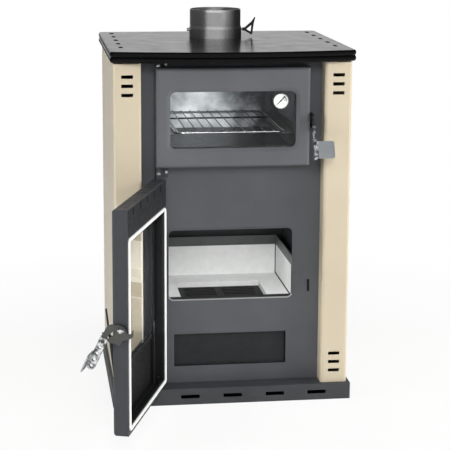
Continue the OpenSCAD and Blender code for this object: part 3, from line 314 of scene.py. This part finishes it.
# Painted shade for the inside of the oven, dark and matt
oven_painted_shade = heat_paint("oven_steel_painted_shade", "#292b2d", "#202123", 0.4)
# Painted reflection on the oven's back: bright and cloudy on the left, dark to the right
oven_back = reflection_painted_steel("back_steel_painted_reflection", "#f4f8fb", "#8d949a", "#3a3c3e", 0.35)
latch_steel = brushed_steel("blanked_latch_steel", "#6c6c6a", "#5c5c5a", 0.42, "Z")
screw_steel = brushed_steel("zinc_screw_steel", "#e4e5e6", "#cacbcc", 0.25, "X")
# Painted reflections and shade in soft patches on the latch grips
grip_chrome_painted_reflections = reflection_patch_chrome("grip_chrome_plate_painted_reflections", "#eceef0", "#5c5e60", 0.14)
case_chrome = chrome("dial_case_chrome", "#8c8e90", 0.1)
retainer_steel = heat_paint("retainer_heat_paint", "#565858", "#4a4c4c", 0.45)
# Painted highlight for the foot of the firing opening's lip
lip_highlight_steel = brushed_steel("lip_painted_highlight_steel", "#c9cbcc", "#9b9d9e", 0.35, "X")
tile_steel = brushed_steel("thumb_plate_steel", "#cfd4d8", "#b5babf", 0.3, "X")
rack_chrome = chrome("rack_chrome_wire", "#eef0f2", 0.12)
# Painted shade: a darker copy of the rack's chrome for its cross wires
shaded_wire_chrome = chrome("cross_wire_chrome_painted_shade", "#4e5052", 0.2)
grate_iron = cast_iron("grate_cast_iron", "#1c1c1d", "#141415")
brick_clay = fire_clay("fire_clay_brick", "#e8e9e8", "#dedfde")
# Painted shade on the front edges of the side bricks and the hearth
side_clay = fire_clay("fire_clay_brick_painted_front_shade", "#e8e9e8", "#dedfde", shade_depth=8 * MM)
hearth_clay = fire_clay("fire_clay_hearth_painted_front_shade", "#e8e9e8", "#dedfde", shade_depth=24 * MM)
fire_cement = fire_clay("fire_cement", "#343433", "#272727")
seal_rope = glass_rope("glass_fibre_rope", "#fbfbf9", "#ecece9")
door_glass = ceramic_glass("ceramic_door_glass", "#fbfcfb", 0.0)
dial_paint = printed_face("dial_lacquer", "#f2f2f0", "#e9e9e6")
print_black = printed_face("dial_print_black", "#1c1c1d", "#262627")
print_grey = printed_face("dial_print_grey", "#55585a", "#5e6163")
print_band = printed_face("dial_print_dark_green", "#454b46", "#4e544f")

FINISHES = {
    cream_coat: ["column_left", "column_right"],
    side_shaded_coat: ["side_panel_left", "side_panel_right"],
    panel_coat: ["front_panel"],
    retainer_steel: ["brick_retainer"],
    door_coat: ["oven_door_shell"],
    fire_door_shaded_coat: ["fire_door_shell"],
    plinth_coat: ["plinth", "back_panel", "hinge_bracket_top", "hinge_bracket_middle", "hinge_bracket_bottom"],
    black_paint: ["base_pan", "top_frame", "flue_casing", "ash_box", "ash_skirt", "ash_pan", "fire_door_air_cover",
                  "fire_door_glass_clips", "fire_door_guard", "damper_handle"],
    boiler_paint: ["boiler_vessel", "boiler_inner_wall", "baffle_plate"],
    hob_enamel: ["hob_plate"],
    rim_enamel: ["hob_rim"],
    collar_steel: ["flue_collar", "damper_disc", "flow_socket", "return_socket"],
    oven_steel: ["oven_runners", "oven_door_frame"],
    oven_back: ["oven_box"],
    latch_steel: ["fire_latch_hook", "fire_latch_lever", "oven_latch_hook", "oven_latch_lever"],
    screw_steel: ["hinge_screws", "panel_screws", "fire_door_screws"],
    grip_chrome_painted_reflections: ["fire_latch_bolt", "fire_latch_grip", "oven_latch_bolt", "oven_latch_grip"],
    case_chrome: ["thermometer_case"],
    rack_chrome: ["oven_rack"],
    grate_iron: ["grate"],
    brick_clay: ["firebrick_back"],
    side_clay: ["firebrick_left", "firebrick_right"],
    hearth_clay: ["hearth"],
    seal_rope: ["fire_door_rope", "oven_door_rope"],
    door_glass: ["fire_door_glass", "oven_door_glass", "thermometer_lens"],
    dial_paint: ["thermometer_dial"],
    print_black: ["thermometer_needle"],
}
for finish, names in FINISHES.items():
    for name in names:
        materials = nodes[name].data.materials
        materials.clear()
        materials.append(finish)


# Second finish on some faces. A door's faces are told apart in its own axes, as if it were shut with its hinge at 0

joints = {joint["name"]: joint for joint in frame["joints"]}


def turned(points, angle):
    """Points turned about Z."""
    c, s = math.cos(angle), math.sin(angle)
    return points @ np.array([[c, s, 0], [-s, c, 0], [0, 0, 1]])


def door_place(name):
    """A door's hinge line, as a point on the floor, and the angle from its closed place to its place at rest."""
    joint = joints[name]
    return np.array([*joint["pos_m"][:2], 0.0]), math.radians(joint["range_deg"][0])


def rows_of_three(items, field):
    """A field of a mesh's vertices or faces, three numbers to a row."""
    flat = np.empty(len(items) * 3, dtype=np.float32)
    items.foreach_get(field, flat)
    return flat.reshape(-1, 3)


def own_corners(node, hinge, angle):
    """A CAD node's lowest and highest corner in its door's axes."""
    vertices = turned(rows_of_three(nodes[node].data.vertices, "co") - hinge, -angle)
    return vertices.min(axis=0), vertices.max(axis=0)


def repaint(node, finish, hinge, angle, rule):
    """Gives some faces of a CAD node a second finish.

    rule takes the faces' centres and normals, and the node's lowest and highest corner, all in its door's axes.
    """
    mesh = nodes[node].data
    mesh.materials.append(finish)
    centres = turned(rows_of_three(mesh.polygons, "center") - hinge, -angle)
    normals = turned(rows_of_three(mesh.polygons, "normal"), -angle)
    chosen = rule(centres, normals, *own_corners(node, hinge, angle))
    mesh.polygons.foreach_set("material_index", chosen.astype(np.int32))
    mesh.update()


def inside(centres, normals, low, high):
    """The inside of a door's tray: faces whose normal points to the middle of the tray's open back.

    For these the dot product of the normal and the way from that middle to the face is below zero. The front sheet
    with its pressed border only has its back there.
    """
    from_rim, border, back_facing = 4 * MM, 8 * MM, 0.3
    middle = np.array([(low[0] + high[0]) / 2, high[1] - from_rim, (low[2] + high[2]) / 2])
    behind = (centres[:, 1] > low[1] + border) | (normals[:, 1] > back_facing)
    return behind & (((centres - middle) * normals).sum(axis=1) < 0)


def not_the_back_wall(centres, normals, low, high):
    """All faces of the oven but those in its rear half that look forward."""
    front_facing = -0.5
    return ~((normals[:, 1] < front_facing) & (centres[:, 1] > (low[1] + high[1]) / 2))


def between_rails(centres, normals, low, high):
    """The rack's cross wires: what is further in than its front, back and side rails."""
    rail = 10 * MM
    return ((centres > low + rail) & (centres < high - rail))[:, :2].all(axis=1)


def lip_foot_highlight(centres, normals, low, high):
    """The foot of the rolled lip round the firing opening, with a painted highlight where the light from above falls
    on it.

    The lip is all that stands further forward than the panel's sheet, and its foot is the lowest part of that.
    """
    lip_front, foot = 0.3 * MM, 9 * MM
    lip = centres[:, 1] < low[1] + lip_front
    return lip & (centres[:, 2] < centres[lip, 2].min() + foot)


def beside_channel(centres, normals, low, high):
    """The thumb plate: all of a latch's grip that lies beyond the width of its channel."""
    channel = 11 * MM
    return centres[:, 0] > low[0] + channel


fire_door, oven_door = door_place("fire_door_hinge"), door_place("oven_door_hinge")
unturned = np.zeros(3), 0.0
# Painted shade and soot inside both doors' trays
repaint("fire_door_shell", door_inside_shade_and_soot, *fire_door, inside)
repaint("oven_door_shell", door_inside_shade_and_soot, *oven_door, inside)
repaint("fire_latch_grip", tile_steel, *fire_door, beside_channel)
repaint("oven_latch_grip", tile_steel, *oven_door, beside_channel)
# Painted shade over all of the oven but its back wall
repaint("oven_box", oven_painted_shade, *unturned, not_the_back_wall)
# Painted highlight on the foot of the lip round the firing opening
repaint("front_panel", lip_highlight_steel, *unturned, lip_foot_highlight)
# Painted shade on the rack's cross wires
repaint("oven_rack", shaded_wire_chrome, *unturned, between_rails)

# Light passes the glass without the shadow that a solid pane would throw
for name in ("fire_door_glass", "oven_door_glass", "thermometer_lens"):
    nodes[name].visible_shadow = False


# New pieces

def new_piece(name, points, faces, finish, smooth=False):
    """Object at the origin with its place in its mesh."""
    mesh = bpy.data.meshes.new(name)
    mesh.from_pydata(np.array(points, dtype=float).tolist(), [], [list(map(int, face)) for face in faces])
    mesh.polygons.foreach_set("use_smooth", [smooth] * len(mesh.polygons))
    mesh.materials.append(finish)
    mesh.update()
    piece = bpy.data.objects.new(name, mesh)
    bpy.context.scene.collection.objects.link(piece)
    return piece


# Rope seals

def loop_length(low, high, radius):
    """Length of a rectangle's outline with round corners: its four sides, less what each corner's curve saves."""
    return 2 * (high - low).sum() - (8 - 2 * math.pi) * radius


def rounded_loop(low, high, radius, count):
    """Even steps round a rectangle in X and Z with round corners: the place and the outward direction of each step.

    Each side starts at its corner c, runs straight along d with n to its outside, and then turns by a quarter circle.
    After the way s along it, the outward direction is o = n cos a + d sin a, where the angle a grows once s passes the
    straight length l, and the place is c + d (r + min(s, l)) + r (o - n).
    """
    corners = np.array([[low[0], low[1]], [high[0], low[1]], [high[0], high[1]], [low[0], high[1]]])
    along = np.array([[1, 0], [0, 1], [-1, 0], [0, -1]])
    straight = np.abs(np.roll(corners, -1, axis=0) - corners).sum(axis=1) - 2 * radius
    side = straight + math.pi * radius / 2
    ends = np.cumsum(side)
    way = np.arange(count) / count * loop_length(low, high, radius)
    k = np.searchsorted(ends, way, side="right")
    s = (way - ends[k] + side[k])[:, None]
    straight, d = straight[k][:, None], along[k]
    n = np.stack([d[:, 1], -d[:, 0]], axis=-1)
    a = np.maximum(s - straight, 0) / radius
    outward = n * np.cos(a) + d * np.sin(a)
    return corners[k] + d * (radius + np.minimum(s, straight)) + radius * (outward - n), outward


def braided_rope(name, node, body, hinge, angle):
    """Braided rope along a door's seal: two sets of strands wind round the core in opposite ways.

    At the share s of the loop and the angle v round it, the radius is r (1 - q (1 - max(|cos a|, |cos b|))),
    where a = pi n s + m v / 2 and b = pi n s - m v / 2, with n crests along the loop and m round it.
    """
    crest, round_it, relief = 3.8 * MM, 8, 0.17
    step, columns = 1.1 * MM, 28
    low, high = own_corners(node, hinge, angle)
    r = (high[1] - low[1]) / 2
    bend = 2 * r
    loop_low, loop_high = low[[0, 2]] + r, high[[0, 2]] - r
    rows = round(2 * (loop_high - loop_low).sum() / step)
    places, outward = rounded_loop(loop_low, loop_high, bend, rows)
    crests = round(loop_length(loop_low, loop_high, bend) / crest)
    s, v = np.meshgrid(np.arange(rows) / rows, np.arange(columns) / columns * 2 * math.pi, indexing="ij")
    wave, twist = math.pi * crests * s, round_it * v / 2
    strands = np.maximum(np.abs(np.cos(wave + twist)), np.abs(np.cos(wave - twist)))
    radius = r * (1 - relief * (1 - strands))
    flat = places[:, None, :] + (radius * np.cos(v))[..., None] * outward[:, None, :]
    depth = (low[1] + high[1]) / 2 + radius * np.sin(v)
    points = np.stack([flat[..., 0], depth, flat[..., 1]], axis=-1).reshape(-1, 3)
    i, j = np.meshgrid(np.arange(rows), np.arange(columns), indexing="ij")
    i1, j1 = (i + 1) % rows, (j + 1) % columns
    corners = [i * columns + j, i * columns + j1, i1 * columns + j1, i1 * columns + j]
    quads = np.stack(corners, axis=-1).reshape(-1, 4)
    rope = new_piece(name, turned(points, angle) + hinge, quads, seal_rope, smooth=True)
    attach(rope, body)
    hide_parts(node)


braided_rope("fire_door_braid", "fire_door_rope", "fire_door", *fire_door)
braided_rope("oven_door_braid", "oven_door_rope", "oven_door", *oven_door)


# Fire cement in the corners between the bricks

CEMENT_LEG = 2.4 * MM


def cement_bead(name, start, end, leg_a, leg_b):
    """Bead in an inner corner: a triangle with its right angle in the corner, carried straight from start to end."""
    start, end, leg_a, leg_b = (np.array(v, dtype=float) for v in (start, end, leg_a, leg_b))
    if np.dot(np.cross(leg_a, leg_b), end - start) > 0:
        leg_a, leg_b = leg_b, leg_a
    points = [foot + CEMENT_LEG * leg for foot in (start, end) for leg in (0 * leg_a, leg_a, leg_b)]
    faces = [(0, 1, 2), (5, 4, 3), (0, 3, 4, 1), (1, 4, 5, 2), (2, 5, 3, 0)]
    piece = new_piece(name, points, faces, fire_cement)
    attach(piece, "stove")


back_low, back_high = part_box("firebrick_back")
hearth_low, hearth_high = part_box("hearth")
for side, sign in (("left", 1), ("right", -1)):
    side_low, side_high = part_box("firebrick_" + side)
    face_x = side_high[0] if side == "left" else side_low[0]
    corner = (face_x, back_low[1], hearth_high[2])
    inwards = (sign, 0, 0)
    cement_bead(f"corner_cement_{side}", corner, (face_x, back_low[1], back_high[2]), inwards, (0, -1, 0))
    cement_bead(f"foot_cement_{side}", (face_x, side_low[1], hearth_high[2]), corner, inwards, (0, 0, 1))


# Thermometer face, whose radii below are shares of the dial's own

PRINT_PROUD = 0.05 * MM
SCALE_START, SCALE_SWEEP = 225, 270
TOP_MARK, MARKS, MARKS_PER_NUMBER = 500, 50, 10
MARK_END, MARK_START, MAIN_MARK_START = 0.96, 0.9, 0.84
MARK_HALF, MAIN_MARK_HALF = 0.35, 0.7
BAND_RADII, BAND_ANGLES, BAND_STEPS = (0.68, 0.8), (-8, 58), 24
NUMBER_RADIUS, NUMBER_SIZE = 0.52, 0.2
NEEDLE_TAIL, NEEDLE_HEAD = 0.7 * MM, 1.7 * MM

dial_low, dial_high = (np.array(corner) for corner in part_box("thermometer_dial"))
dial_middle = (dial_low + dial_high) / 2
dial_radius = (dial_high[0] - dial_low[0]) / 2


def slab(outline, front, back):
    """Closed slab: an outline in X and Z, against the clock from in front, carried along Y from front to back."""
    n = len(outline)
    x, z = outline.T
    points = np.concatenate([np.stack([x, np.full(n, y), z], axis=-1) for y in (front, back)])
    i = np.arange(n)
    j = (i + 1) % n
    return points, [i, 2 * n - 1 - i, *np.stack([i, n + i, n + j, j], axis=-1)]


def print_on_dial(name, loops, finish):
    """Thin print over the dial's face: each loop of points in X and Z becomes a closed slab."""
    points, faces = np.empty((0, 3)), []
    for loop in loops:
        outline = dial_middle[[0, 2]] + dial_radius * loop
        slab_points, slab_faces = slab(outline, dial_low[1] - PRINT_PROUD, dial_low[1] + PRINT_PROUD)
        faces += [len(points) + face for face in slab_faces]
        points = np.concatenate([points, slab_points])
    piece = new_piece(name, points, faces, finish)
    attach(piece, "oven_door")


def ring_part(inner, outer, from_deg, to_deg, steps=1):
    """Loop round a part of a ring between two radii and two angles, counted against the clock from the right."""
    angles = np.radians(np.linspace(from_deg, to_deg, steps + 1))
    arc = np.stack([np.cos(angles), np.sin(angles)], axis=-1)
    return np.concatenate([outer * arc, inner * arc[::-1]])


def scale_angle(share):
    """Angle of a mark in degrees, against the clock from the right. The scale runs with the clock, from lower left."""
    return SCALE_START - SCALE_SWEEP * share


def dial_number(text, share):
    """Plain number beside its mark, upright, as a mesh."""
    data = bpy.data.curves.new("number_" + text, "FONT")
    data.body = text
    data.size = NUMBER_SIZE * dial_radius
    data.extrude = PRINT_PROUD
    data.align_x = data.align_y = "CENTER"
    draft = bpy.data.objects.new("draft", data)
    bpy.context.scene.collection.objects.link(draft)
    bpy.context.view_layer.update()
    mesh = bpy.data.meshes.new_from_object(draft.evaluated_get(bpy.context.evaluated_depsgraph_get()))
    bpy.data.objects.remove(draft)
    a = math.radians(scale_angle(share))
    reach = NUMBER_RADIUS * dial_radius
    place = (dial_middle[0] + reach * math.cos(a), dial_low[1], dial_middle[2] + reach * math.sin(a))
    mesh.transform(Matrix.Translation(place) @ Matrix.Rotation(math.pi / 2, 4, "X"))
    mesh.materials.clear()
    mesh.materials.append(print_grey)
    piece = bpy.data.objects.new("dial_number_" + text, mesh)
    bpy.context.scene.collection.objects.link(piece)
    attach(piece, "oven_door")


def dial_needle():
    """Needle through the dial's middle: a bar that widens from its tail to its head, as a closed slab.

    It points 45 degrees up to the right, so the point u along it and v to its left is at (u - v, u + v) cos 45.
    """
    low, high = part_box("thermometer_needle")
    reach = (high[0] - low[0]) / math.sqrt(2)
    u, v = np.array([
        (-reach, -NEEDLE_TAIL), (reach - NEEDLE_HEAD, -NEEDLE_HEAD), (reach, 0),
        (reach - NEEDLE_HEAD, NEEDLE_HEAD), (-reach, NEEDLE_TAIL),
    ]).T
    middle = np.array([low[0] + high[0], low[2] + high[2]]) / 2
    outline = middle + math.cos(math.pi / 4) * np.stack([u - v, u + v], axis=-1)
    piece = new_piece("needle_bar", *slab(outline, low[1], (low[1] + high[1]) / 2), print_black)
    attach(piece, "needle")


dial_needle()
marks = []
for i in range(MARKS + 1):
    middle, main = scale_angle(i / MARKS), i % MARKS_PER_NUMBER == 0
    mark_start, half = (MAIN_MARK_START, MAIN_MARK_HALF) if main else (MARK_START, MARK_HALF)
    marks.append(ring_part(mark_start, MARK_END, middle - half, middle + half))
    if main:
        dial_number(str(TOP_MARK * i // MARKS), i / MARKS)
print_on_dial("dial_marks", marks, print_black)
print_on_dial("dial_baking_band", [ring_part(*BAND_RADII, *BAND_ANGLES, BAND_STEPS)], print_band)


# Stage

FLOOR_HALF = 60.0
# To the camera the floor turns white between these distances from the middle, from the least share of white on
FADE_START, FADE_END, FADE_LEAST = 0.5, 1.6, 0.86
CARD_FAR, CARD_FOOT, CARD_TOP, CARD_STEPS = 3.5, -0.5, 3.5, 24
GREYS_START, GREY_WIDTH = 26, 15
SOFT_LIGHT = 0.2


def bare_tree(thing):
    """The empty node tree of a material or a world."""
    thing.use_nodes = True
    thing.node_tree.nodes.clear()
    return thing.node_tree


def stage_floor():
    """Pale floor: it keeps the object's soft shadow near it, and fades to plain white to the camera further out."""
    material = bpy.data.materials.new("pale_floor")
    tree = bare_tree(material)
    lit = add(tree, "ShaderNodeBsdfDiffuse", {"Color": linear("#f4f4f2")}).outputs[0]
    white = add(tree, "ShaderNodeEmission", {"Color": linear("#ffffff"), "Strength": 1.0}).outputs[0]
    place = add(tree, "ShaderNodeTexCoord").outputs["Object"]
    far = add(tree, "ShaderNodeVectorMath", {0: place}, operation="LENGTH").outputs["Value"]
    fade = add(
        tree, "ShaderNodeMapRange",
        {"Value": far, "From Min": FADE_START, "From Max": FADE_END, "To Min": FADE_LEAST, "To Max": 1.0},
    ).outputs["Result"]
    seen = add(tree, "ShaderNodeLightPath").outputs["Is Camera Ray"]
    share = add(tree, "ShaderNodeMath", {0: seen, 1: fade}, operation="MULTIPLY").outputs[0]
    mixed = add(tree, "ShaderNodeMixShader", {0: share, 1: lit, 2: white}).outputs[0]
    add(tree, "ShaderNodeOutputMaterial", {"Surface": mixed})
    corners = np.array([(-1, -1, 0), (1, -1, 0), (1, 1, 0), (-1, 1, 0)])
    floor = new_piece("floor", FLOOR_HALF * corners, [(0, 1, 2, 3)], material)


def card(name, start_at, end_at, code, foot=CARD_FOOT, top=CARD_TOP, top_far=CARD_FAR):
    """Curved card beside the stage that only mirrors see, between two angles from the front, positive to the right.

    It is ruled between two arcs round the stage's middle, at its foot and at its top, whose radii may differ.
    """
    angles = np.radians(np.linspace(start_at, end_at, CARD_STEPS))
    x, y = np.sin(angles), -np.cos(angles)
    edges = (CARD_FAR, foot), (top_far, top)
    points = np.concatenate([np.stack([far * x, far * y, np.full(CARD_STEPS, z)], axis=-1) for far, z in edges])
    i = np.arange(CARD_STEPS - 1)
    faces = np.stack([i, i + 1, i + 1 + CARD_STEPS, i + CARD_STEPS], axis=-1)
    material = bpy.data.materials.new(name)
    tree = bare_tree(material)
    glow = add(tree, "ShaderNodeEmission", {"Color": linear(code), "Strength": 1.0}).outputs[0]
    add(tree, "ShaderNodeOutputMaterial", {"Surface": glow})
    piece = new_piece(name, points, faces, material)
    for ray in ("camera", "diffuse", "transmission", "volume_scatter", "shadow"):
        setattr(piece, "visible_" + ray, False)


def studio_world():
    """White surroundings to the camera, in reflections and through glass, and a softer even light on everything."""
    world = bpy.data.worlds.new("studio")
    bpy.context.scene.world = world
    tree = bare_tree(world)
    path = add(tree, "ShaderNodeLightPath").outputs
    shown = path["Is Camera Ray"]
    for ray in ("Is Glossy Ray", "Is Transmission Ray"):
        shown = add(tree, "ShaderNodeMath", {0: shown, 1: path[ray]}, operation="MAXIMUM").outputs[0]
    soft, white = (
        add(tree, "ShaderNodeBackground", {"Color": linear("#ffffff"), "Strength": strength}).outputs[0]
        for strength in (SOFT_LIGHT, 1.0)
    )
    mixed = add(tree, "ShaderNodeMixShader", {0: shown, 1: soft, 2: white}).outputs[0]
    add(tree, "ShaderNodeOutputWorld", {"Surface": mixed})


def lamp(name, place, target, width, watts):
    """Square soft box that faces its target and doesn't show in reflections."""
    data = bpy.data.lights.new(name, "AREA")
    data.shape = "SQUARE"
    data.size = width
    data.energy = watts
    light = bpy.data.objects.new(name, data)
    bpy.context.scene.collection.objects.link(light)
    way = np.array(target) - np.array(place)
    light.rotation_euler = Vector(way).to_track_quat("-Z", "Y").to_euler()
    light.location = place
    light.visible_glossy = False


stage_floor()
studio_world()

# Cards that grade what metal and glass mirror, each between two angles in degrees from the front
card("dark_card_left", -160, -50, "#4a4a4a")
for i, code in enumerate(("#c4c4c4", "#9a9a9a", "#747474", "#505050")):
    start_at = GREYS_START + GREY_WIDTH * i
    card(f"grey_card_right_{i}", start_at, start_at + GREY_WIDTH, code)
card("dark_card_right", 86, 160, "#262626")
card("low_card_back", 160, 178, "#262626", top=0.8)
card("low_card_front", 0, 10, "#262626", top=0.62)
card("grey_card_front", -50, 26, "#dedede", foot=1.7)
card("grey_card_above", -180, 180, "#5a5a5a", foot=CARD_TOP, top_far=0.05)

# Lamps round the stage, with their widths in metres
lamp("front", place=(-0.2, -3.6, 2.25), target=(0, 0, 0.8), width=1.1, watts=59)
lamp("left", place=(-3.4, -0.8, 1.6), target=(0, 0, 0.6), width=1.6, watts=66)
lamp("right", place=(3.4, -1.2, 1.2), target=(0, 0, 0.5), width=1.6, watts=105)
lamp("top", place=(0.2, -0.4, 3.4), target=(0, 0, 0.9), width=1.6, watts=12)

# Small lamp in the firebox: above the hearth's front edge and the bricks, aimed at the foot of the back brick
hearth_middle = (hearth_low[0] + hearth_high[0]) / 2
lamp(
    "firebox", place=(hearth_middle, hearth_low[1] + 40 * MM, back_high[2] + 70 * MM),
    target=(hearth_middle + 60 * MM, back_low[1], hearth_high[2]), width=0.16, watts=0.28,
)

# Small lamp in the oven: in its upper left front corner, aimed high at its back
oven_low, oven_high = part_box("oven_box")
lamp(
    "oven", place=(oven_low[0] + 70 * MM, oven_low[1] + 60 * MM, oven_high[2] - 40 * MM),
    target=(oven_low[0] + 150 * MM, oven_high[1], oven_high[2] - 70 * MM), width=0.06, watts=2.2,
)
